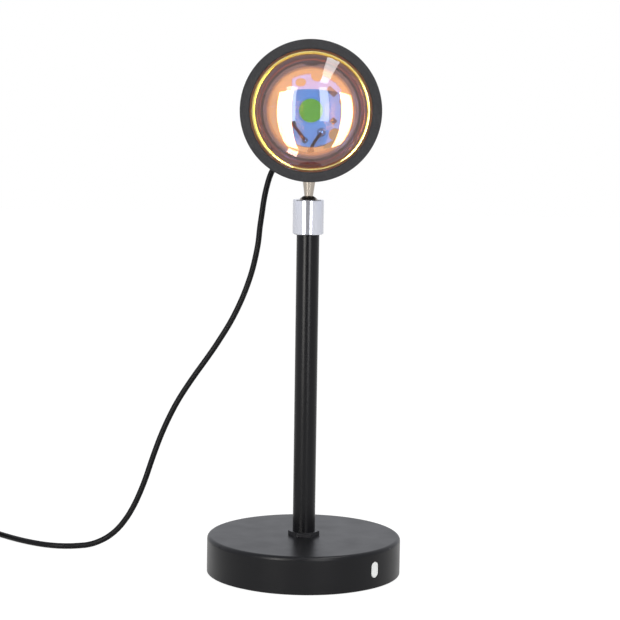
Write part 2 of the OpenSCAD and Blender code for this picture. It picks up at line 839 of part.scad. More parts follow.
// Least distance between turns, measured surface to surface on the coil's own points.
coil_self_gap = min([
    for (i = [0 : 2 : len(coil_route) - 1], j = [i + 12 : len(coil_route) - 1])
        norm(coil_route[i] - coil_route[j])
]) - cord_d;
echo(coil_self_gap = coil_self_gap);

module cord_coil() {
    color("#1f1f21") tube_along(coil_route, cord_r, coil_sides);
}

// Band round the whole bundle of turns.
module cord_tie() {
    inner_w = coil_out - coil_in + cord_d + 2 * tie_room + 1.2;
    inner_h = coil_top_z + cord_r + tie_room - tie_t;
    mid_r = (coil_in + coil_out) / 2;
    color("#2f3033") translate([coil_centre[0], coil_centre[1], 0])
        rotate([0, 0, tie_angle]) translate([mid_r, tie_w / 2, tie_t + inner_h / 2])
            rotate([90, 0, 0]) linear_extrude(tie_w) difference() {
                round_rect(inner_w + 2 * tie_t, inner_h + 2 * tie_t, 2 + tie_t);
                round_rect(inner_w, inner_h, 2);
            }
}

module cord_lead_out() {
    color("#1f1f21") tube_along(
        concat([coil_point(coil_loops)], lead_out_route,
               [[switch_x, switch_y + cord_d, switch_mid], [switch_x, switch_y, switch_mid]]),
        cord_r, cord_sides);
}

module cord_lead_end() {
    back = switch_y - switch_l;
    rise = switch_mid - plug_mid;
    color("#1f1f21") tube_along([
        [switch_x, back, switch_mid], [switch_x, back - cord_d / 2, switch_mid],
        [switch_x, (back + plug_y) / 2, plug_mid + rise / 2],
        [switch_x, plug_y + cord_d / 2, plug_mid], [switch_x, plug_y, plug_mid]
    ], cord_r, cord_sides);
}

// Switch on the cord --------------------------------------------------------------------------

// Children drawn about the middle of the switch's underside, long side along Y.
module at_switch() {
    translate([switch_x, switch_y - switch_l / 2, 0]) children();
}

module switch_block(z0, z1) {
    translate([0, 0, z0]) linear_extrude(z1 - z0) round_rect(switch_w, switch_l, switch_r);
}

module switch_hollow(z0, z1) {
    inner_w = switch_w - 2 * switch_wall;
    inner_l = switch_l - 2 * switch_wall;
    translate([0, 0, z0]) linear_extrude(z1 - z0)
        round_rect(inner_w, inner_l - 8, switch_r - switch_wall);
}

module switch_screw_places() {
    for (side = [-1, 1])
        translate([side * (switch_w / 2 - 3.2), side * (switch_l / 2 - 2.9), 0]) children();
}

module switch_bottom() {
    color("#26262a") at_switch() difference() {
        switch_block(0, switch_mid);
        switch_hollow(switch_wall, switch_mid + eps);
        switch_screw_places() {
            translate([0, 0, -eps]) cylinder(d = switch_screw_d + 1.4, h = 1.2);
            cylinder(d = switch_screw_d + 2 * screw_fit, h = switch_mid + eps);
        }
    }
}

module switch_top() {
    roof = switch_h - switch_wall;
    color("#2c2c30") at_switch() difference() {
        switch_block(switch_mid, switch_h);
        switch_hollow(switch_mid - eps, roof);
        cylinder(d = button_d + 2 * slide_fit, h = switch_h + 1);
        switch_screw_places()
            translate([0, 0, switch_mid - eps]) cylinder(d = switch_screw_d, h = 2.6);
    }
}

module switch_button() {
    roof = switch_h - switch_wall;
    stem_end = switch_wall + unit_h + button_travel + 0.3;
    color("#3a3a3f") at_switch() {
        ring(roof - slide_fit - eps, switch_h + button_proud, button_d);
        ring(roof - slide_fit - button_flange_t, roof - slide_fit,
             button_d + 2 * slide_fit + 2 * button_flange);
        ring(stem_end, roof - slide_fit - button_flange_t + eps, button_stem_d);
    }
}

// Latching contact block with two tabs.
module switch_unit() {
    color("#c8c6bf") at_switch() {
        translate([-unit_l / 2, -unit_l / 2, switch_wall]) cube([unit_l, unit_l, unit_h]);
        for (side = [-1, 1])
            translate([-1, side * (unit_l / 2 + 1) - 1, switch_wall]) cube([2, 2, 0.8]);
    }
}

module switch_screws() {
    color("#b9bbbd") at_switch() switch_screw_places() {
        ring(0.2, 1, switch_screw_d + 1);
        ring(1 - eps, switch_mid + 2.4, switch_screw_d);
    }
}

// Plug ----------------------------------------------------------------------------------------

// Children drawn with z along the plug, out of its mouth, from the rear of the grip.
module along_plug() {
    translate([switch_x, plug_y - plug_tail, plug_mid]) rotate([90, 0, 0]) children();
}

module usb_overmould() {
    color("#232325") along_plug() {
        linear_extrude(plug_l) round_rect(plug_w, plug_h, 2);
        translate([0, 0, -plug_tail])
            cylinder(d1 = plug_tail_d, d2 = plug_h - 1, h = plug_tail + eps);
    }
}

module usb_shell() {
    color("#c9cbcf") along_plug() translate([0, 0, plug_l]) linear_extrude(usb_l)
        difference() {
            square([usb_w, usb_h], center = true);
            square([usb_w - 2 * usb_wall, usb_h - 2 * usb_wall], center = true);
        }
}

// Insulator that lies against the shell's lower wall.
module usb_tongue() {
    color("#f0f0ee") along_plug()
        translate([-tongue_w / 2, -usb_h / 2 + usb_wall, plug_l])
            cube([tongue_w, tongue_h, usb_l - 0.8]);
}

module usb_contacts() {
    color("#d8b45a") along_plug() for (i = [0 : contact_n - 1])
        translate([
            (i - (contact_n - 1) / 2) * tongue_w / contact_n - contact_w / 2,
            -usb_h / 2 + usb_wall + tongue_h, plug_l
        ])
            cube([contact_w, contact_t, usb_l - 3]);
}

base_shell();
slot_plug();
counterweight();
foot_pad();
base_nut();
base_washer();
clamp_nut();
nipple();
pole_tube();
pole_plug();
seat_spring();
ball_seat();
socket_collar();
ball_stud();
stud_washer();
stud_nut();
bezel_ring();
lens_gasket();
lens();
filter_disc();
lamp_cup();
led_board();
led_cob();
board_parts();
thermal_pad();
heat_sink();
sink_screws();
lead_red();
lead_black();
housing();
rear_cover();
rear_screws();
cord_gland();
cord_hanging();
cord_table();
cord_coil();
cord_tie();
cord_lead_out();
cord_lead_end();
switch_bottom();
switch_top();
switch_button();
switch_unit();
switch_screws();
usb_overmould();
usb_shell();
usb_tongue();
usb_contacts();
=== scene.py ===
# Looks of the sunset projection lamp: camera, cords, enamel, chrome, coated glass and a plain studio.
import json
import math
import bmesh
import bpy
from mathutils import Matrix, Vector


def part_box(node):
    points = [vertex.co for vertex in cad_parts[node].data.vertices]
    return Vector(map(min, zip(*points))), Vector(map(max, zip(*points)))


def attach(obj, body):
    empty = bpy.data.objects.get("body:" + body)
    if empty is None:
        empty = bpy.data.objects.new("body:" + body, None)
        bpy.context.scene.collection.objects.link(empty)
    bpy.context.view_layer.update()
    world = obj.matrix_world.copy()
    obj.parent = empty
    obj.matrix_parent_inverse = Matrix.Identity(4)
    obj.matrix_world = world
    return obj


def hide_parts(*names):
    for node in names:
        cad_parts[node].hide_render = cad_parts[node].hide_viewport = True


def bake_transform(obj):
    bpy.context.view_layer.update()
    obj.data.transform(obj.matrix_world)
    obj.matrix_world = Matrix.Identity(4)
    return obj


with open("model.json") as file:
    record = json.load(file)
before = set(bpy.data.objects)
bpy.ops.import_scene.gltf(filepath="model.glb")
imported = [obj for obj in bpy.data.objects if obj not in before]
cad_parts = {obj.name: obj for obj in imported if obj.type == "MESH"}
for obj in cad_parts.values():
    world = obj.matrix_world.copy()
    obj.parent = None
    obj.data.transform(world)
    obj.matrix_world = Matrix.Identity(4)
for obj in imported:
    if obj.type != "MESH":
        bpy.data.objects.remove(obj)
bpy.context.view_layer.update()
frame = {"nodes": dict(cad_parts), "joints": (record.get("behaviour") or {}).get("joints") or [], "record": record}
nodes = frame["nodes"]
joints = {joint["name"]: joint for joint in frame["joints"]}
mm = 0.001
lean = math.atan2(joints["head_turn"]["axis"][0], joints["head_turn"]["axis"][2])   # of stem and head
print("frame loaded:", len(nodes), "nodes")

# Camera

cameraLook = {
    "place": (0, -0.9715, 0.24595),
    "downTilt": 6.419, "turn": 0.093, "roll": 0.839,    # degrees
    "lens": 110.9, "sensor": 36,
}


def addObject(name, data):
    added = bpy.data.objects.new(name, data)
    bpy.context.scene.collection.objects.link(added)
    return added


def placeCamera(look):
    down, turn, roll = (math.radians(look[word]) for word in ("downTilt", "turn", "roll"))
    ahead = Vector((math.sin(turn) * math.cos(down), math.cos(turn) * math.cos(down), -math.sin(down)))
    right = Vector((math.cos(turn), -math.sin(turn), 0))
    up = right.cross(ahead)
    camRight = right * math.cos(roll) + up * math.sin(roll)
    camUp = up * math.cos(roll) - right * math.sin(roll)
    camera = addObject("camera", bpy.data.cameras.new("camera"))
    camera.data.lens, camera.data.sensor_width = look["lens"], look["sensor"]
    turned = Matrix((camRight, camUp, -ahead)).transposed().to_4x4()
    camera.matrix_world = Matrix.Translation(look["place"]) @ turned
    bpy.context.scene.camera = camera


placeCamera(cameraLook)

# Nodes and materials


def linear(hexColour, strength=1):
    parts = [int(hexColour[i:i + 2], 16) / 255 for i in (1, 3, 5)]
    parts = [c / 12.92 if c <= 0.04045 else ((c + 0.055) / 1.055) ** 2.4 for c in parts]
    return tuple(c * strength for c in parts) + (1,)


# Settings go to inputs or properties of that name, links to inputs by name or number.
def addNode(tree, kind, settings={}, links={}):
    node = tree.nodes.new("ShaderNode" + kind)
    for name, value in settings.items():
        if name == "stops":
            for i, (place, colour) in enumerate(value):
                stop = node.color_ramp.elements[i] if i < 2 else node.color_ramp.elements.new(place)
                stop.position, stop.color = place, colour
        elif name in node.inputs:
            node.inputs[name].default_value = value
        else:
            setattr(node, name, value)
    for name, socket in links.items():
        tree.links.new(socket, node.inputs[name])
    return node


def newMaterial(name, look):
    material = bpy.data.materials.new(name)
    material.use_nodes = True
    shader = material.node_tree.nodes["Principled BSDF"]
    shader.inputs["Base Color"].default_value = linear(look["colour"])
    shader.inputs["Roughness"].default_value = look["roughness"]
    shader.inputs["Metallic"].default_value = look.get("metallic", 0)
    shader.inputs["Specular IOR Level"].default_value = look.get("shine", 0.5)
    if "ior" in look:
        shader.inputs["IOR"].default_value = look["ior"]
    return material, material.node_tree, shader


def emptyMaterial(name):
    material = bpy.data.materials.new(name)
    material.use_nodes = True
    tree = material.node_tree
    tree.nodes.remove(tree.nodes["Principled BSDF"])
    return material, tree


def showShader(tree, socket):
    tree.links.new(socket, tree.nodes["Material Output"].inputs["Surface"])


# Light that a surface gives off by itself.
def addGlow(shader, look):
    shader.inputs["Emission Color"].default_value = linear(look["glow"])
    shader.inputs["Emission Strength"].default_value = look["glowStrength"]


# Noise in the object's own space, its patches sizeMm wide where nothing stretches them.
def addPatches(tree, sizeMm, detail=3, stretch=None):
    where = addNode(tree, "TexCoord").outputs["Object"]
    if stretch:
        where = addNode(tree, "Mapping", {"Scale": stretch}, {"Vector": where}).outputs["Vector"]
    noise = addNode(tree, "TexNoise", {"Scale": 1 / (sizeMm * mm), "Detail": detail}, {"Vector": where})
    return noise.outputs["Fac"]


def addRelief(tree, shader, height, deepMm):
    bump = addNode(tree, "Bump", {"Distance": deepMm * mm}, {"Height": height})
    tree.links.new(bump.outputs["Normal"], shader.inputs["Normal"])


# Relief of grains sizeMm wide and deepMm high.
def addGrain(tree, shader, sizeMm, deepMm, stretch=(1, 1, 1), detail=2):
    grains = addPatches(tree, sizeMm, detail, stretch)
    addRelief(tree, shader, grains, deepMm)
    return grains


# Colour that runs from the dark to the light value as a pattern rises between two levels.
def addTint(tree, shader, pattern, levels, dark, light):
    stops = [(levels[0], linear(dark)), (levels[1], linear(light))]
    ramp = addNode(tree, "ValToRGB", {"stops": stops}, {"Fac": pattern})
    tree.links.new(ramp.outputs["Color"], shader.inputs["Base Color"])


# Roughness that drifts round its own value, in patches driftMm wide.
def addPolish(tree, shader, look, stretch=(1, 1, 1)):
    less, more = (look["roughness"] + part for part in look["drift"])
    spread = addNode(tree, "MapRange", {"From Min": 0.3, "From Max": 0.7, "To Min": less, "To Max": more},
                     {"Value": addPatches(tree, look["driftMm"], stretch=stretch)})
    tree.links.new(spread.outputs["Result"], shader.inputs["Roughness"])


baseEnamel = {"colour": "#0f0f12", "roughness": 0.34, "ior": 1.5, "shine": 0.22, "peelMm": 1.8,
              "peelDeepMm": 0.006, "drift": (-0.03, 0.03), "driftMm": 14}


# Powder enamel on pressed steel, baked: soft grey reflections with a faint orange peel.
def powderEnamel(look):
    material, tree, shader = newMaterial("powder enamel", look)
    addGrain(tree, shader, look["peelMm"], look["peelDeepMm"])
    addPolish(tree, shader, look)
    return material


poleEnamel = {"colour": "#0f0f12", "roughness": 0.26, "ior": 1.5, "shine": 0.22, "peelMm": 1.2,
              "peelDeepMm": 0.003, "peelDrawn": (1, 1, 0.2),
              "drift": (-0.03, 0.04), "driftMm": 9, "driftDrawn": (1, 1, 0.15)}


# Sprayed satin enamel on drawn steel tube: deep black with narrow upright lights.
def tubeEnamel(look):
    material, tree, shader = newMaterial("satin tube enamel", look)
    addGrain(tree, shader, look["peelMm"], look["peelDeepMm"], look["peelDrawn"])
    addPolish(tree, shader, look, look["driftDrawn"])
    return material


# The two sand colours: painted shade in the dips, painted highlight on the grain tops.
headEnamel = {"colour": "#28282a", "roughness": 0.6, "ior": 1.5, "shine": 0.25, "sandMm": 0.32,
              "sandDeepMm": 0.05, "hollow": "#202022", "grain": "#363639", "levels": (0.3, 0.7)}


# Sand-textured enamel on turned aluminium: matt dark grey, its colour painted darker in the dips between grains
# and lighter on their tops, painted shade and painted highlight.
def sandEnamel(look):
    material, tree, shader = newMaterial("sand texture enamel", look)
    sand = addGrain(tree, shader, look["sandMm"], look["sandDeepMm"], detail=3)
    # Painted shade and highlight: darker where the relief is low, lighter where it is high.
    addTint(tree, shader, sand, look["levels"], look["hollow"], look["grain"])
    return material


ironLook = {"colour": "#4a4b4e", "roughness": 0.7, "metallic": 0.6, "pitMm": 0.8, "pitDeepMm": 0.12}


# Cast iron straight from the sand mould: dull grey and pitted.
def castIron(look):
    material, tree, shader = newMaterial("cast iron", look)
    addGrain(tree, shader, look["pitMm"], look["pitDeepMm"], detail=4)
    return material


foamLook = {"colour": "#1b1b1d", "roughness": 0.95, "cellMm": 0.5, "cellDeepMm": 0.15}


# Closed-cell EVA foam, die-cut: matt black with fine open cells.
def evaFoam(look):
    material, tree, shader = newMaterial("EVA foam", look)
    place = addNode(tree, "TexCoord")
    cells = addNode(tree, "TexVoronoi", {"Scale": 1 / (look["cellMm"] * mm)},
                    {"Vector": place.outputs["Object"]})
    addRelief(tree, shader, cells.outputs["Distance"], look["cellDeepMm"])
    return material


plainPlastics = {
    "white ABS": {"colour": "#fbfcfb", "roughness": 0.4, "ior": 1.53, "grainMm": 0.5},
    "natural nylon": {"colour": "#e9e7df", "roughness": 0.45, "ior": 1.53, "grainMm": 0.6},
    "black ABS": {"colour": "#232326", "roughness": 0.46, "ior": 1.53, "grainMm": 0.35},
    "dark grey ABS": {"colour": "#3c3c41", "roughness": 0.4, "ior": 1.53, "grainMm": 0.5},
    "black EPDM": {"colour": "#232325", "roughness": 0.75, "ior": 1.5, "grainMm": 0.3},
    "soft PVC": {"colour": "#232325", "roughness": 0.55, "ior": 1.52, "grainMm": 0.4},
    "red silicone": {"colour": "#a33024", "roughness": 0.5, "ior": 1.41, "grainMm": 0.5},
    "black silicone": {"colour": "#2a2624", "roughness": 0.5, "ior": 1.41, "grainMm": 0.5},
    "alumina": {"colour": "#5f5a55", "roughness": 0.55, "ior": 1.6, "grainMm": 0.3},
}
mouldLook = {"drift": (-0.04, 0.05), "driftMm": 6, "deepShare": 0.02}     # what all mould walls give


# Moulded plastics and rubbers: even colour, a soft shine and the mould's fine spark-eroded grain.
def mouldedPlastic(name, look=None):
    look = {**mouldLook, **(look or plainPlastics[name])}
    material, tree, shader = newMaterial(name, look)
    addGrain(tree, shader, look["grainMm"], look["grainMm"] * look["deepShare"])
    addPolish(tree, shader, look)
    if "glow" in look:
        addGlow(shader, look)
    return material


plainMetals = {
    "zinc plated steel": {"colour": "#c9cbcf", "roughness": 0.32, "metallic": 1, "turned": (1, 1, 9)},
    "black oxide steel": {"colour": "#2c2c2f", "roughness": 0.4, "metallic": 0.5, "turned": (1, 1, 1)},
    "turned brass": {"colour": "#d6b56e", "roughness": 0.3, "metallic": 1, "turned": (1, 1, 9)},
    "spring steel": {"colour": "#a9abad", "roughness": 0.3, "metallic": 1, "turned": (1, 1, 5)},
    "machined aluminium": {"colour": "#c4c6ca", "roughness": 0.38, "metallic": 1, "turned": (1, 8, 1)},
    "nickel plated steel": {"colour": "#cfd0d2", "roughness": 0.22, "metallic": 1, "turned": (1, 8, 1)},
    "gold plate": {"colour": "#e4bd62", "roughness": 0.2, "metallic": 1, "turned": (1, 1, 1)},
    "tin solder": {"colour": "#c6c7c9", "roughness": 0.24, "metallic": 1, "turned": (1, 1, 1)},
}
toolLook = {"drift": (-0.06, 0.08), "driftMm": 1.5, "lineMm": 0.5, "lineDeepMm": 0.002}     # of all of them


# Bare and plated metals: their own tint, with faint tool lines across the turned direction.
def metalFinish(name):
    look = {**toolLook, **plainMetals[name]}
    material, tree, shader = newMaterial(name, look)
    addGrain(tree, shader, look["lineMm"], look["lineDeepMm"], look["turned"])
    addPolish(tree, shader, look, look["turned"])
    return material


chromeLook = {"colour": "#dcdee8", "roughness": 0.05, "metallic": 0.6, "scuffMm": 2.5, "scuffDeepMm": 0.0015,
              "scuffDrawn": (1, 1, 4), "drift": (0, 0.05), "driftMm": 2.5, "driftDrawn": (1, 1, 6)}


# Polished chrome plate on brass: cold mirror with hairline scuffs, and a haze that lifts its darks.
def chromePlate(look):
    material, tree, shader = newMaterial("chrome plate", look)
    addGrain(tree, shader, look["scuffMm"], look["scuffDeepMm"], look["scuffDrawn"])
    addPolish(tree, shader, look, look["driftDrawn"])
    return material


nickelLook = {"colour": "#b4aba0", "roughness": 0.2, "metallic": 1, "ringMm": 0.35, "ringDeepMm": 0.004,
              "ringDrawn": (0.05, 0.05, 1),
              "drift": (-0.06, 0.1), "driftMm": 0.35, "driftDrawn": (0.1, 0.1, 1)}


# Bright nickel on a turned steel stem: warm grey, with tool rings round the axis.
def turnedNickel(look):
    material, tree, shader = newMaterial("turned nickel", look)
    addGrain(tree, shader, look["ringMm"], look["ringDeepMm"], look["ringDrawn"])
    addPolish(tree, shader, look, look["driftDrawn"])
    return material


jacketLook = {"colour": "#0d0d0f", "roughness": 0.45, "ior": 1.53, "shine": 0.14, "flowMm": 1.4,
              "flowDeepMm": 0.012, "drift": (-0.06, 0.06), "driftMm": 5}


# Extruded PVC cord jacket: satin black, slightly uneven along its length.
def cordJacket(look):
    material, tree, shader = newMaterial("PVC cord jacket", look)
    addGrain(tree, shader, look["flowMm"], look["flowDeepMm"])
    addPolish(tree, shader, look)
    return material


# The gap colour is painted shade between the threads.
weaveLook = {"colour": "#232427", "roughness": 0.85, "threadMm": 0.6, "threadDeepMm": 0.15,
             "gap": "#0d0d0f", "thread": "#303135", "levels": (0, 0.5), "sheen": 0.3}
waveUnit = math.pi / 10     # width of one band of a wave texture whose scale is 1


# Woven nylon strap: matt black twill whose threads cross aslant, drawn a little coarse to show; its colour is
# painted darker where the threads dip, painted shade in the gaps.
def strapWeave(look):
    material, tree, shader = newMaterial("woven nylon strap", look)
    shader.inputs["Sheen Weight"].default_value = look["sheen"]
    place = addNode(tree, "TexCoord")
    woven = addNode(tree, "Math", {"operation": "MULTIPLY"})
    for i, side in enumerate((1, -1)):
        turned = addNode(tree, "Mapping", {"Scale": (side, 1, 1)}, {"Vector": place.outputs["Object"]})
        wave = addNode(tree, "TexWave", {"Scale": waveUnit / (look["threadMm"] * mm),
                                         "bands_direction": "DIAGONAL"}, {"Vector": turned.outputs["Vector"]})
        tree.links.new(wave.outputs["Fac"], woven.inputs[i])
    # Painted shade: darker where the threads dip, following the relief.
    addTint(tree, shader, woven.outputs["Value"], look["levels"], look["gap"], look["thread"])
    addRelief(tree, shader, woven.outputs["Value"], look["threadDeepMm"])
    return material


# Brown ABS of the cup, and grey silicone of the pad behind the board, both moulded. Their glow is a
# stand-in for warm light that goes to and fro behind the coat: it isn't worked out.
cupLook = {
    "colour": "#3a2a22", "roughness": 0.3, "ior": 1.53, "grainMm": 0.9,
    "glow": "#c0603a", "glowStrength": 0.5,
    "steps": 4, "edgeMm": 0.5, "holeMm": 30.4, "mouthGapMm": 1.8, "floorMm": 2, "riserShare": 0.55,
    "backEdgeMm": 6,
}
padLook = {"colour": "#3a3a3d", "roughness": 0.8, "ior": 1.41, "grainMm": 0.4, "glow": "#ff9250",
           "glowStrength": 0.85}


# Glass and light

lensLook = {"colour": "#ffffff", "roughness": 0, "ior": 1.58, "passed": "#f4f8ff",
            "rimMm": 1.6, "shoulderMm": 1.1, "edgeMm": 0.15, "arcSteps": 72, "steps": 192}
# The edge's glow is painted light.
edgeLook = {"colour": "#8d7f7b", "roughness": 0.75, "ior": 1.58, "grindMm": 0.4, "grindDeepMm": 0.04,
            "glow": "#7a5a50", "glowStrength": 0.35}


# Polished optical glass: clear and sharp. Lamps light what is behind it straight through.
def opticalGlass(look):
    material, tree, shader = newMaterial("optical glass", look)
    shader.inputs["Transmission Weight"].default_value = 1
    rays = addNode(tree, "LightPath")
    passing = addNode(tree, "Math", {"operation": "MAXIMUM"},
                      {0: rays.outputs["Is Shadow Ray"], 1: rays.outputs["Is Diffuse Ray"]})
    clear = addNode(tree, "BsdfTransparent", {"Color": linear(look["passed"])})
    mixed = addNode(tree, "MixShader", {}, {"Fac": passing.outputs["Value"],
                                            1: shader.outputs["BSDF"], 2: clear.outputs["BSDF"]})
    showShader(tree, mixed.outputs["Shader"])
    return material


# The lens's edge is ground with coarse grit: frosted and grey, with a painted glow standing in for the light that
# the glass around it sends in.
def groundEdge(look):
    material, tree, shader = newMaterial("ground glass edge", look)
    addGrain(tree, shader, look["grindMm"], look["grindDeepMm"])
    addGlow(shader, look)
    return material


coatLook = {
    # What the coat mirrors as light comes in more and more aslant: chosen for the look, not worked out.
    "sentBack": [(0.056, "#d6884a"), (0.066, "#74493c"), (0.088, "#6e4840"), (0.096, "#ff7434"),
                 (0.105, "#724a40"), (0.114, "#744a3e"), (0.135, "#eede78")],
    "letThrough": [(0.05, "#8fd3fe"), (0.3, "#b4a4d4")],    # and what it passes
    "edgeMm": 0.1, "uncoated": "#fbfbfb",
}


# Vacuum-coated dichroic film on glass: mirrors orange, then hardly, then yellow as light comes in
# more aslant, which draws rings in the lens, and lets blue through.
def dichroicCoat(look):
    material, tree = emptyMaterial("dichroic coat")
    aslant = addNode(tree, "LayerWeight", {"Blend": 0.5})
    mirrored, passed = (addNode(tree, "ValToRGB", {"stops": [(at, linear(tint)) for at, tint in look[word]]},
                                {"Fac": aslant.outputs["Facing"]}) for word in ("sentBack", "letThrough"))
    mirror = addNode(tree, "BsdfGlossy", {"Roughness": 0}, {"Color": mirrored.outputs["Color"]})
    window = addNode(tree, "BsdfTransparent", {}, {"Color": passed.outputs["Color"]})
    both = addNode(tree, "AddShader", {}, {0: mirror.outputs["BSDF"], 1: window.outputs["BSDF"]})
    showShader(tree, both.outputs["Shader"])
    return material


# The uncoated back of the filter, which only lets light through.
def plainGlassBack(look):
    material, tree = emptyMaterial("plain glass back")
    clear = addNode(tree, "BsdfTransparent", {"Color": linear(look["uncoated"])})
    showShader(tree, clear.outputs["BSDF"])
    return material


mottleLevels = (0.35, 0.65)     # span of a noise over which a mottled colour changes
maskLook = {"colour": "#eef0f5", "roughness": 0.38, "ior": 1.5, "patchMm": 5,
            "dark": "#e9ecf4", "light": "#f3f4f6"}


# White solder mask on an aluminium board: even white, faintly glossy.
def solderMask(look):
    material, tree, shader = newMaterial("white solder mask", look)
    addTint(tree, shader, addPatches(tree, look["patchMm"]), mottleLevels, look["dark"], look["light"])
    return material


phosphorLook = {"colour": "#f2e23c", "roughness": 0.5, "ior": 1.41, "speckMm": 0.35,
                "dark": "#e8da30", "light": "#fbf05a", "glow": "#8fe044", "glowStrength": 0.3}


# Phosphor in clear silicone: yellow and grainy, and it glows a little green in blue light.
def phosphorGel(look):
    material, tree, shader = newMaterial("phosphor gel", look)
    addTint(tree, shader, addPatches(tree, look["speckMm"]), mottleLevels, look["dark"], look["light"])
    addGlow(shader, look)
    return material


finishes = {
    "base_enamel": powderEnamel(baseEnamel), "pole_enamel": tubeEnamel(poleEnamel),
    "head_enamel": sandEnamel(headEnamel), "cast_iron": castIron(ironLook), "foam": evaFoam(foamLook),
    "white_plastic": mouldedPlastic("white ABS"), "zinc_steel": metalFinish("zinc plated steel"),
    "black_steel": metalFinish("black oxide steel"), "brass": metalFinish("turned brass"),
    "spring_steel": metalFinish("spring steel"), "nylon": mouldedPlastic("natural nylon"),
    "chrome": chromePlate(chromeLook), "nickel": turnedNickel(nickelLook),
    "lens_glass": opticalGlass(lensLook), "filter_glass": dichroicCoat(coatLook),
    "gasket": mouldedPlastic("black EPDM"), "cup_plastic": mouldedPlastic("brown ABS cup", cupLook),
    "board_white": solderMask(maskLook), "phosphor": phosphorGel(phosphorLook),
    "board_bits": mouldedPlastic("alumina"), "thermal_pad": mouldedPlastic("silicone thermal pad", padLook),
    "bare_aluminium": metalFinish("machined aluminium"), "lead_red": mouldedPlastic("red silicone"),
    "lead_black": mouldedPlastic("black silicone"), "screw_black": metalFinish("black oxide steel"),
    "cord_black": cordJacket(jacketLook), "tie_black": strapWeave(weaveLook),
    "switch_black": mouldedPlastic("black ABS"), "button_grey": mouldedPlastic("dark grey ABS"),
    "plug_black": mouldedPlastic("soft PVC"), "plug_metal": metalFinish("nickel plated steel"),
    "contact_gold": metalFinish("gold plate"),
}
for part in frame["record"]["subparts"]:
    for held in nodes[part["node"]].material_slots:
        held.material = finishes[part["material_slot"]]
print("materials made:", len(finishes))

# Mesh helpers


# A piece of loops with the same number of points each, joined in turn, with capped ends unless closed.
def loftPiece(name, loops, slotName, body, closed=False, sharpOver=35):
    mesh = bpy.data.meshes.new(name)
    work = bmesh.new()
    rings = [[work.verts.new(point) for point in loop] for loop in loops]
    pairs = list(zip(rings, rings[1:])) + ([(rings[-1], rings[0])] if closed else [])
    for here, there in pairs:
        if len(here) == 1 or len(there) == 1:
            tip, ring = (here[0], there) if len(here) == 1 else (there[0], here)
            for i in range(len(ring)):
                work.faces.new((tip, ring[i], ring[i - 1]))
        else:
            for i in range(len(here)):
                work.faces.new((here[i - 1], here[i], there[i], there[i - 1]))
    for ring in (rings[0], rings[-1]):
        if not closed and len(ring) > 2:
            work.faces.new(ring)
    return finishPiece(name, work, mesh, slotName, body, sharpOver)


def finishPiece(name, work, mesh, slotName, body, sharpOver=35):
    bmesh.ops.recalc_face_normals(work, faces=work.faces)
    for face in work.faces:
        face.smooth = True
    for edge in work.edges:
        edge.smooth = len(edge.link_faces) == 2 and edge.calc_face_angle(0) < math.radians(sharpOver)
    work.to_mesh(mesh)
    work.free()
    mesh.materials.append(finishes[slotName])
    piece = addObject(name, mesh)
    if body:
        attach(piece, body)
    return piece


# A turned piece: profile holds (radius, depth) pairs, frameOf places its axis.
def turnedPiece(name, profile, slotName, body, frameOf, steps=128, closed=False, sharpOver=35):
    loops = []
    for radius, depth in profile:
        if radius < 1e-6:
            loops.append([frameOf @ Vector((0, 0, depth))])
        else:
            turn = [math.tau * i / steps for i in range(steps)]
            loops.append([frameOf @ Vector((radius * math.cos(a), radius * math.sin(a), depth))
                          for a in turn])
    return loftPiece(name, loops, slotName, body, closed=closed, sharpOver=sharpOver)


# Cords

cordLook = {
    "diameter": 0.0031, "sides": 16, "hangingParts": 3, "tableParts": 2,     # parts between two route points
    # Route points where the gland's grip ends, and where each joint's bend ends.
    "gripEnds": 3, "turnEnds": 10, "nodEnds": 19, "swivelEnds": 33,
}
hangingRoute = [
    (0.0004, 0.0400, 0.2242), (0.0004, 0.0470, 0.2242), (-0.0015, 0.0540, 0.2232),
    (-0.0060, 0.0595, 0.2202), (-0.0120, 0.0615, 0.2160), (-0.0170, 0.0615, 0.2100),
    (-0.0205, 0.0600, 0.2035), (-0.0226, 0.0585, 0.1965), (-0.0240, 0.0575, 0.1895),
    (-0.0250, 0.0570, 0.1820), (-0.0260, 0.0560, 0.1745), (-0.0267, 0.0555, 0.1670),
    (-0.0280, 0.0550, 0.1595), (-0.0297, 0.0545, 0.1520), (-0.0320, 0.0540, 0.1445),
    (-0.0348, 0.0535, 0.1370), (-0.0380, 0.0530, 0.1298), (-0.0416, 0.0525, 0.1228),
    (-0.0458, 0.0520, 0.1158), (-0.0500, 0.0515, 0.1092), (-0.0546, 0.0510, 0.1025),
    (-0.0592, 0.0505, 0.0960), (-0.0638, 0.0500, 0.0892), (-0.0682, 0.0495, 0.0822),
    (-0.0720, 0.0490, 0.0752), (-0.0754, 0.0485, 0.0680), (-0.0784, 0.0480, 0.0608),
    (-0.0811, 0.0475, 0.0534), (-0.0836, 0.0470, 0.0460), (-0.0860, 0.0465, 0.0386),
    (-0.0888, 0.0460, 0.0312), (-0.0920, 0.0455, 0.0240), (-0.0960, 0.0450, 0.0170),
    (-0.1010, 0.0450, 0.0106), (-0.1070, 0.0449, 0.0057), (-0.1135, 0.0444, 0.0027),
    (-0.1185, 0.0435, 0.0017),
]
tableRoute = [
    (-0.1185, 0.0435, 0.0017), (-0.1255, 0.0415, 0.0016), (-0.1330, 0.0415, 0.0016),
    (-0.1405, 0.0440, 0.0016), (-0.1470, 0.0478, 0.0016), (-0.1533, 0.0524, 0.0016),
    (-0.1592, 0.0576, 0.0016), (-0.1650, 0.0633, 0.0016), (-0.1708, 0.0690, 0.0017),
    (-0.1765, 0.0747, 0.0019), (-0.1815, 0.0797, 0.0021),
]
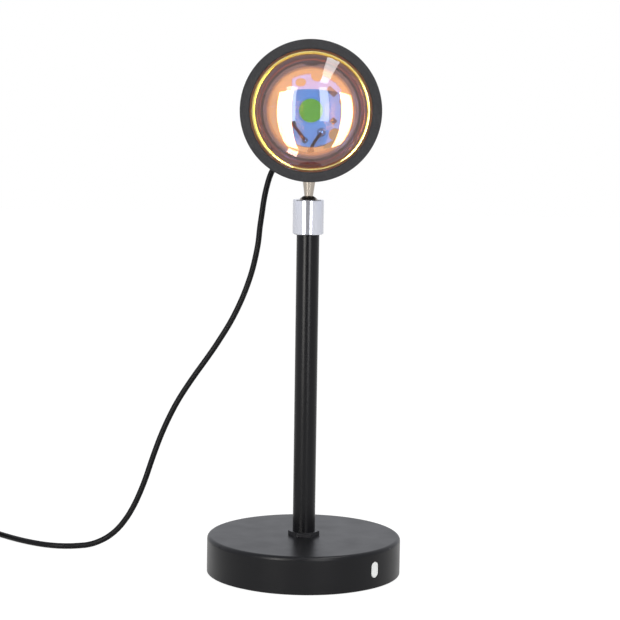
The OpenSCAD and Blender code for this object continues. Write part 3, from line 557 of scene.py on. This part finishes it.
leadOutRoute = [
    (-0.1900, 0.0875, 0.0127), (-0.1960, 0.0910, 0.0120), (-0.2030, 0.0926, 0.0109),
    (-0.2105, 0.0920, 0.0096), (-0.2177, 0.0890, 0.0084), (-0.2240, 0.0843, 0.0073),
    (-0.2288, 0.0780, 0.0063), (-0.2318, 0.0705, 0.0056), (-0.2328, 0.0625, 0.0052),
    (-0.2330, 0.0491, 0.0050),
]
coilLook = {"middle": (-0.200, 0.0685), "turns": 2.25, "layers": 4, "gap": 0.0005, "start": 45, "low": 0.0021,
            "midTurn": 5.5, "perTurn": 24}      # radius of the middle turn in cords, and points in a turn
switchLook = {"x": -0.233, "back": 0.046, "front": 0.010, "mid": 0.005, "stemRoom": 0.0042}
plugLook = {"rear": 0.002, "mid": 0.004, "straight": 0.0015, "inside": 0.002}


# The coil's point after so many turns: in and out in turn, one layer up at each reversal.
def coilPoint(turned, look):
    pitch = cordLook["diameter"] + look["gap"]
    inner = look["midTurn"] * cordLook["diameter"] - pitch * look["turns"] / 2
    radius = inner + pitch * abs(turned % (2 * look["turns"]) - look["turns"])
    level = 0
    for layer in range(1, look["layers"]):
        nearness = max(-0.25, min(0.25, turned - layer * look["turns"]))    # it climbs for half a turn
        level += 0.5 + 0.5 * math.sin(math.tau * nearness)
    a = math.radians(look["start"]) + math.tau * turned
    return (look["middle"][0] + radius * math.cos(a), look["middle"][1] + radius * math.sin(a),
            look["low"] + pitch * level)


# Straight through the switch but for a bend round the push button's stem.
def throughSwitch(look, steps=8):
    points = []
    for i in range(steps + 1):
        share = i / steps
        aside = look["stemRoom"] * (0.5 - 0.5 * math.cos(math.tau * share))
        points.append((look["x"] + aside, look["back"] + share * (look["front"] - look["back"]), look["mid"]))
    return points


# A Catmull-Rom curve through the points, with so many parts from each point to the next.
def smoothRoute(points, parts):
    points = [Vector(point) for point in points]
    route = []
    for i in range(len(points) - 1):
        here, there = points[i], points[i + 1]
        before, after = points[max(i - 1, 0)], points[min(i + 2, len(points) - 1)]
        for k in range(parts):
            t = k / parts
            route.append((here * 2 + (there - before) * t
                          + (before * 2 - here * 5 + there * 4 - after) * t ** 2
                          + (here * 3 - before - there * 3 + after) * t ** 3) / 2)
    return route + [points[-1]]


def routeLength(route):
    return sum((b - a).length for a, b in zip(route, route[1:]))


# Rings round a route; each ring's first point turns as little as it can from the last one's.
def tubeRings(route, radius, sides):
    rings = []
    aside = Vector((0.3, 0.2, 1))
    for i, point in enumerate(route):
        along = (route[min(i + 1, len(route) - 1)] - route[max(i - 1, 0)]).normalized()
        aside = (aside - along * aside.dot(along)).normalized()
        across = along.cross(aside)
        turn = [math.tau * k / sides for k in range(sides)]
        rings.append([point + (aside * math.cos(a) + across * math.sin(a)) * radius for a in turn])
    return rings


# The hanging cord in three pieces, cut where the head's turn and its nod end; they are not tied to the joints.
def hangingCord(look):
    parts = look["hangingParts"]
    route = smoothRoute(hangingRoute, parts)
    rings = tubeRings(route, look["diameter"] / 2, look["sides"])
    cuts = [0, look["turnEnds"], look["nodEnds"], len(hangingRoute) - 1]
    bends = [
        ("cordAtHead", "head", "stem", look["gripEnds"], look["turnEnds"] - 1),
        ("cordBehindPole", "stem", "seat", look["turnEnds"], look["nodEnds"] - 1),
        ("cordToTable", "seat", "base", look["nodEnds"], look["swivelEnds"]),
    ]
    for (name, above, below, start, end), first, last in zip(bends, cuts, cuts[1:]):
        piece = loftPiece(name, rings[first * parts:last * parts + 1], "cord_black", None)
        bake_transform(piece)
        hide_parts("cord_hanging")


# Along the table, into the coil, through the switch and to the plug.
def tableCord(look):
    loops = coilLook["turns"] * coilLook["layers"]
    perTurn = coilLook["perTurn"]
    coil = [coilPoint(i / perTurn, coilLook) for i in range(int(loops * perTurn) + 1)]
    rear, straight = plugLook["rear"], plugLook["straight"]
    toPlug = [
        (switchLook["x"], switchLook["front"] - straight, switchLook["mid"]),
        (switchLook["x"], (switchLook["front"] + rear) / 2, (switchLook["mid"] + plugLook["mid"]) / 2),
        (switchLook["x"], rear + straight, plugLook["mid"]),
        (switchLook["x"], rear - plugLook["inside"], plugLook["mid"]),
    ]
    points = tableRoute + coil + leadOutRoute + throughSwitch(switchLook) + toPlug
    route = smoothRoute(points, look["tableParts"])
    piece = loftPiece("coiledCord", tubeRings(route, look["diameter"] / 2, look["sides"]),
                      "cord_black", "base")
    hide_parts("cord_table", "cord_coil", "cord_lead_out", "cord_lead_end")
    print(f"coiledCord: {routeLength(route):.3f} m")


hangingCord(cordLook)
tableCord(cordLook)

# Lens, filter and cup

ledLow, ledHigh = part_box("led_cob")
lensMiddle = (ledLow + ledHigh) / 2
lensFrame = (Matrix.Translation((lensMiddle.x, 0, lensMiddle.z)) @ Matrix.Rotation(lean, 4, "Y")
             @ Matrix.Rotation(-math.pi / 2, 4, "X"))   # local z is the lamp's y, local y points down
airGap = 0.03 * mm                                      # hair of air between glass, filter and cup


def domeLens(look):
    low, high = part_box("lens")
    edge = look["edgeMm"] * mm
    back = high.y - airGap
    rimFront = high.y - look["rimMm"] * mm
    rim = (high.x - low.x) / 2
    foot, rise = rim - look["shoulderMm"] * mm, rimFront - low.y
    radius = (foot * foot + rise * rise) / (2 * rise)
    centre = low.y + radius
    widest = math.asin(foot / radius)
    arc = [widest * i / look["arcSteps"] for i in range(look["arcSteps"] + 1)]
    profile = [(radius * math.sin(a), centre - radius * math.cos(a)) for a in arc]
    profile += [(rim - edge, rimFront), (rim, rimFront + edge), (rim, back - edge), (rim - edge, back),
                (0, back)]
    piece = turnedPiece("domeLens", profile, "lens_glass", "head", lensFrame, look["steps"], sharpOver=20)
    piece.data.materials.append(groundEdge(edgeLook))
    for face in piece.data.polygons:
        out = lensFrame.inverted() @ face.center
        face.material_index = 1 if math.hypot(out.x, out.y) > rim - edge else 0
    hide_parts("lens")


def filterGlass(look):
    low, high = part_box("filter_disc")
    rim, edge = (high.x - low.x) / 2, look["edgeMm"] * mm
    front, back = low.y + airGap, high.y - airGap
    profile = [(0, front), (rim - edge, front), (rim, front + edge), (rim, back - edge), (rim - edge, back),
               (0, back)]
    piece = turnedPiece("filterGlass", profile, "filter_glass", "head", lensFrame)
    piece.data.materials.append(plainGlassBack(look))
    for face in piece.data.polygons:
        face.material_index = 0 if face.center.y < front + edge / 4 else 1
    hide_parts("filter_disc")


# Stepped cone; each step has a rounded edge at its top and one at the foot of its riser.
def reflectorCup(look):
    low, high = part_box("lamp_cup")
    rim = (high.x - low.x) / 2
    mouth, hole = rim - look["mouthGapMm"] * mm, look["holeMm"] / 2 * mm
    floor, backEdge = high.y - look["floorMm"] * mm, look["backEdgeMm"] * mm
    run, fall = (mouth - hole) / look["steps"], (floor - low.y) / look["steps"]
    edge = look["edgeMm"] * mm
    profile = [(rim, low.y + airGap)]
    for i in range(look["steps"]):
        outer, depth = mouth - i * run, low.y + airGap + i * fall
        lower = depth + fall * look["riserShare"]
        profile += [(outer + edge * 0.4, depth), (outer - edge * 0.2, depth + edge * 0.5),
                    (outer - run / 2 + edge * 0.2, lower - edge * 0.2), (outer - run / 2 - edge * 0.4, lower)]
    profile += [(hole, floor), (hole, high.y), (rim - backEdge, high.y), (rim, high.y - backEdge)]
    piece = turnedPiece("reflectorCup", profile, "cup_plastic", "head", lensFrame, closed=True, sharpOver=60)
    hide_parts("lamp_cup")


domeLens(lensLook)
filterGlass(coatLook)
reflectorCup(cupLook)
print("lens, filter and cup made")

# LED, solder and leads

ledLook = {"risenMm": 0.12, "edgeMm": 0.25, "damGapMm": 0.02, "damMm": 0.55, "damHighMm": 0.5, "damSteps": 8}
leadLook = {
    "diameter": 0.0012, "sides": 12, "parts": 5, "behindMm": 14,
    "depthsMm": (22.5, 19, 12, 7, 1, -3.4),     # from the heat sink's back to the board's hole
    # Height over the board at each share of the way from the hole to the pad.
    "lifts": ((0, 0.1), (0.1, 1.5), (0.3, 2.4), (0.55, 2.2), (0.8, 1.3), (1, 0.7)),
}
solderLook = {"steps": 10, "sides": 32, "highShare": 0.9, "skirtShare": 0.22}
# Places in millimetres on the board as the lens sees it: across, down and back.
leadPlaces = {
    "redLead": {"side": -1, "hole": (-8.2, 3.4), "pad": (-1.9, 10.6), "blobMm": 1.2, "node": "lead_red"},
    "blackLead": {"side": 1, "hole": (0.3, 14.1), "pad": (3.9, 7.6), "blobMm": 1.6, "node": "lead_black"},
}


# A thick drop of phosphor gel inside a low white dam.
def ledPieces(look):
    low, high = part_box("led_cob")
    front, back, rim, edge = low.y, high.y, (high.x - low.x) / 2, look["edgeMm"] * mm
    risen = look["risenMm"] * mm
    profile = [(0, front), (rim * 0.5, front + risen * 0.15), (rim - edge * 2, front + risen * 0.7),
               (rim - edge * 0.5, front + risen + edge * 0.3), (rim, front + edge + risen), (rim, back),
               (0, back)]
    gel = turnedPiece("ledGel", profile, "phosphor", "head", lensFrame)
    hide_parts("led_cob")
    inner, outer, top = rim + look["damGapMm"] * mm, rim + look["damMm"] * mm, back - look["damHighMm"] * mm
    middle, rounding = (inner + outer) / 2, (outer - inner) / 2
    turn = [math.pi * i / look["damSteps"] for i in range(look["damSteps"] + 1)]
    dam = [(middle - rounding * math.cos(a), top + rounding * (1 - math.sin(a))) for a in turn]
    ring = [(inner, back)] + dam + [(outer, back)]
    turnedPiece("ledDam", ring, "board_white", "head", lensFrame, closed=True)


def smoothLead(name, look, place):
    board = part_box("led_board")[0].y / mm
    hole, pad = Vector(place["hole"]), Vector(place["pad"])
    behind = Vector((place["side"], look["behindMm"]))
    stops = (behind, behind, behind * 0.5 + hole * 0.5, hole, hole, hole)
    points = [(at.x, at.y, depth) for at, depth in zip(stops, look["depthsMm"])]
    for share, lift in look["lifts"]:
        at = hole.lerp(pad, share)
        points.append((at.x, at.y, board - lift))
    route = smoothRoute([lensFrame @ (Vector(point) * mm) for point in points], look["parts"])
    piece = loftPiece(name, tubeRings(route, look["diameter"] / 2, look["sides"]), place["node"], "head")
    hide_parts(place["node"])
    print(f"{name}: {routeLength(route):.3f} m")


# A drop of solder, drawn up round the lead's end.
def solderDrop(name, look, place):
    board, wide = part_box("led_board")[0].y, place["blobMm"] * mm
    steps, skirt, high = look["steps"], look["skirtShare"], wide * look["highShare"]
    profile = [(0, board - high)]
    for i in range(1, steps + 1):
        a = math.pi / 2 * i / steps
        width = wide * ((1 - skirt) * math.sin(a) + skirt * (i / steps) ** 4)
        profile.append((width, board - high * math.cos(a)))
    where = lensFrame @ Matrix.Translation((place["pad"][0] * mm, place["pad"][1] * mm, 0))
    drop = turnedPiece(name, profile + [(0, board)], "board_bits", "head", where, look["sides"], sharpOver=70)
    drop.data.materials[0] = metalFinish("tin solder")


ledPieces(ledLook)
for leadName, leadPlace in leadPlaces.items():
    smoothLead(leadName, leadLook, leadPlace)
    solderDrop(leadName + "Solder", solderLook, leadPlace)
print("LED and leads made")

# Foot

padShape = {"edgeMm": 0.5, "sides": 160}


def footPad(look):
    low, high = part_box("foot_pad")
    rim, edge = (high.x - low.x) / 2, look["edgeMm"] * mm
    profile = [(0, low.z), (rim - edge, low.z), (rim - edge * 0.3, low.z + edge * 0.3), (rim, low.z + edge),
               (rim, high.z - edge), (rim - edge, high.z), (0, high.z)]
    piece = turnedPiece("footPad", profile, "foam", "base", Matrix.Identity(4), look["sides"], sharpOver=50)
    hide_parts("foot_pad")


footPad(padShape)

# Strap

tieLook = {"wideMm": 5, "thickMm": 0.5, "cornerMm": 2, "startMm": 3, "endMm": -4.1, "cornerSteps": 8,
           "overlapSteps": 16, "rampShares": (0.66, 0.33), "noseShare": 0.02}


# Hook-and-loop strap: one turn round the coil, its rounded end pressed down on its start.
def cordTie(look):
    low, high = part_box("cord_tie")
    middle, half = (low + high) / 2, look["thickMm"] / 2 * mm
    corner = look["cornerMm"] * mm + half
    flatY, flatZ = (high.y - low.y) / 2 - half - corner, (high.z - low.z) / 2 - half - corner
    line = [(look["startMm"] * mm, flatZ + corner)]
    for turn, (y, z) in enumerate(((-flatY, flatZ), (-flatY, -flatZ), (flatY, -flatZ), (flatY, flatZ))):
        for i in range(look["cornerSteps"] + 1):
            a = math.pi / 2 * (1 + turn + i / look["cornerSteps"])
            line.append((y + corner * math.cos(a), z + corner * math.sin(a)))
    above, end = flatZ + corner + look["thickMm"] * mm, look["endMm"] * mm
    start = look["startMm"] * mm
    line += [(start + (flatY - start) * share, above - look["thickMm"] * mm * share ** 2)
             for share in look["rampShares"]]
    overlap = look["overlapSteps"]
    line += [(start + (end - start) * i / overlap, above) for i in range(overlap + 1)]
    line = [Vector((middle.x, middle.y + y, middle.z + z)) for y, z in line]
    loops, left = [], routeLength(line)
    for i, point in enumerate(line):
        along = (line[min(i + 1, len(line) - 1)] - line[max(i - 1, 0)]).normalized()
        out = Vector((1, 0, 0)).cross(along)
        wide = look["wideMm"] / 2 * mm
        nose = max(look["noseShare"], min(1, left / wide))
        wide *= math.sqrt(1 - (1 - nose) ** 2)
        edge = min(half, wide / 2)
        section = ((wide, -half / 2), (wide, half / 2), (wide - edge, half), (edge - wide, half),
                   (-wide, half / 2), (-wide, -half / 2), (edge - wide, -half), (wide - edge, -half))
        loops.append([point + Vector((x, 0, 0)) + out * deep for x, deep in section])
        if i < len(line) - 1:
            left -= (line[i + 1] - point).length
    piece = loftPiece("cordTie", loops, "tie_black", "base", sharpOver=50)
    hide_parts("cord_tie")


cordTie(tieLook)
print("strap made")

# Studio

studioLook = {
    # Upright softboxes: the span of directions that they fill as the lens sees them, in degrees.
    "rightBox": {"turn": (13.4, 27), "rise": (-15, 34), "away": 0.83, "light": 5, "inMirrors": 1.7,
                 "colour": "#ffffff"},
    "leftBox": {"turn": (-41, -23), "rise": (-15, 34), "away": 0.83, "light": 5, "inMirrors": 2,
                "colour": "#fffdf8"},
    "leftEdge": {"turn": (-23, -13.3), "rise": (-15, 34), "away": 0.835, "light": 0.38, "colour": "#ffffff"},
    "darkRoom": {"turn": (-13.3, 13.4), "rise": (-15, 29), "away": 0.84, "light": 0.05, "colour": "#f2ecf8"},
    "overhead": {"x": (0.18, 0.35), "y": (-0.65, 0.08), "up": 0.6, "light": 4.5, "inMirrors": 2},
    "worldLight": 0.42, "walls": "#eef0f8", "wallsEnd": 0.36, "backdrop": "#f3f5fb", "backdropStarts": 0.44,
    "floorGlow": 0.9, "floorInMirrors": 0.72, "floorBounce": 0.4, "floorPaint": "#8c8c8c", "floorReach": 3,
}
panelCorners = ((0, 0), (1, 0), (1, 1), (0, 1))


# One for rays of the kinds given, zero for all others.
def seenRays(tree, kinds):
    rays = addNode(tree, "LightPath")
    seen = rays.outputs[kinds[0]]
    for kind in kinds[1:]:
        either = addNode(tree, "Math", {"operation": "MAXIMUM"}, {0: seen, 1: rays.outputs[kind]})
        seen = either.outputs["Value"]
    return seen


mirrorRays = ("Is Glossy Ray", "Is Transmission Ray")
cameraRays = ("Is Camera Ray",)


# A panel lights the room with strength; metal and glass see it inMirrors times as bright.
def studioPanel(name, corners, colour, strength, lights, inMirrors=1):
    mesh = bpy.data.meshes.new(name)
    mesh.from_pydata(corners, [], [(0, 1, 2, 3)])
    panel = addObject(name, mesh)
    material, tree = emptyMaterial(name)
    level = addNode(tree, "MapRange", {"To Min": strength, "To Max": strength * inMirrors},
                    {"Value": seenRays(tree, mirrorRays)})
    glow = addNode(tree, "Emission", {"Color": linear(colour)}, {"Strength": level.outputs["Result"]})
    showShader(tree, glow.outputs["Emission"])
    mesh.materials.append(material)
    panel.visible_camera = False
    panel.visible_diffuse = panel.visible_shadow = lights


def uprightPanel(name, look, lights=True):
    places = []
    for turn, rise in panelCorners:
        a, e = math.radians(look["turn"][turn]), math.radians(look["rise"][rise])
        places.append((look["away"] * math.sin(a), -look["away"] * math.cos(a),
                       lensMiddle.z + look["away"] * math.tan(e)))
    studioPanel(name, places, look["colour"], look["light"], lights, look.get("inMirrors", 1))


def overheadPanel(look):
    z = lensMiddle.z + look["up"]
    places = [(look["x"][i], look["y"][k], z) for i, k in panelCorners]
    studioPanel("overhead", places, "#ffffff", look["light"], True, look["inMirrors"])


# White where nothing shades it; only light that the object blocks makes a shadow on it.
def whiteFloor(look):
    mesh = bpy.data.meshes.new("floor")
    reach = look["floorReach"]
    corners = [((2 * i - 1) * reach, (2 * k - 1) * reach, 0) for i, k in panelCorners]
    mesh.from_pydata(corners, [], [(0, 1, 2, 3)])
    floor = addObject("floor", mesh)
    material, tree = emptyMaterial("white floor")
    glow = addNode(tree, "MapRange", {"To Min": look["floorBounce"], "To Max": look["floorInMirrors"]},
                   {"Value": seenRays(tree, mirrorRays)})
    more = addNode(tree, "MapRange", {"To Min": 0, "To Max": look["floorGlow"] - look["floorBounce"]},
                   {"Value": seenRays(tree, cameraRays)})
    level = addNode(tree, "Math", {"operation": "ADD"},
                    {0: glow.outputs["Result"], 1: more.outputs["Result"]})
    white = addNode(tree, "Emission", {"Color": linear("#ffffff")}, {"Strength": level.outputs["Value"]})
    paint = addNode(tree, "BsdfDiffuse", {"Color": linear(look["floorPaint"])})
    both = addNode(tree, "AddShader", {}, {0: white.outputs["Emission"], 1: paint.outputs["BSDF"]})
    showShader(tree, both.outputs["Shader"])
    mesh.materials.append(material)


# White to the eye, pale walls and a white backdrop to metal and glass, and a soft even light.
def worldLight(look):
    world = bpy.data.worlds.new("studio")
    bpy.context.scene.world = world
    world.use_nodes = True
    tree = world.node_tree
    tree.nodes.clear()
    place = addNode(tree, "TexCoord")
    along = addNode(tree, "SeparateXYZ", {}, {"Vector": place.outputs["Generated"]})
    stops = [(look["wallsEnd"], linear(look["walls"])), (look["backdropStarts"], linear(look["backdrop"]))]
    walls = addNode(tree, "ValToRGB", {"stops": stops}, {"Fac": along.outputs["Y"]})
    even = addNode(tree, "Background", {"Color": linear("#ffffff"), "Strength": look["worldLight"]})
    room = addNode(tree, "Background", {"Strength": 1}, {"Color": walls.outputs["Color"]})
    white = addNode(tree, "Background", {"Color": linear("#ffffff"), "Strength": 1})
    unseen = addNode(tree, "MixShader", {}, {"Fac": seenRays(tree, mirrorRays),
                                             1: even.outputs["Background"], 2: room.outputs["Background"]})
    whole = addNode(tree, "MixShader", {}, {"Fac": seenRays(tree, cameraRays),
                                            1: unseen.outputs["Shader"], 2: white.outputs["Background"]})
    addNode(tree, "OutputWorld", {}, {"Surface": whole.outputs["Shader"]})


uprightPanel("rightBox", studioLook["rightBox"])
uprightPanel("leftBox", studioLook["leftBox"])
uprightPanel("darkRoom", studioLook["darkRoom"], lights=False)
uprightPanel("leftEdge", studioLook["leftEdge"], lights=False)
overheadPanel(studioLook["overhead"])
whiteFloor(studioLook)
worldLight(studioLook)
bpy.context.scene.view_settings.view_transform = "Standard"
print("studio made")
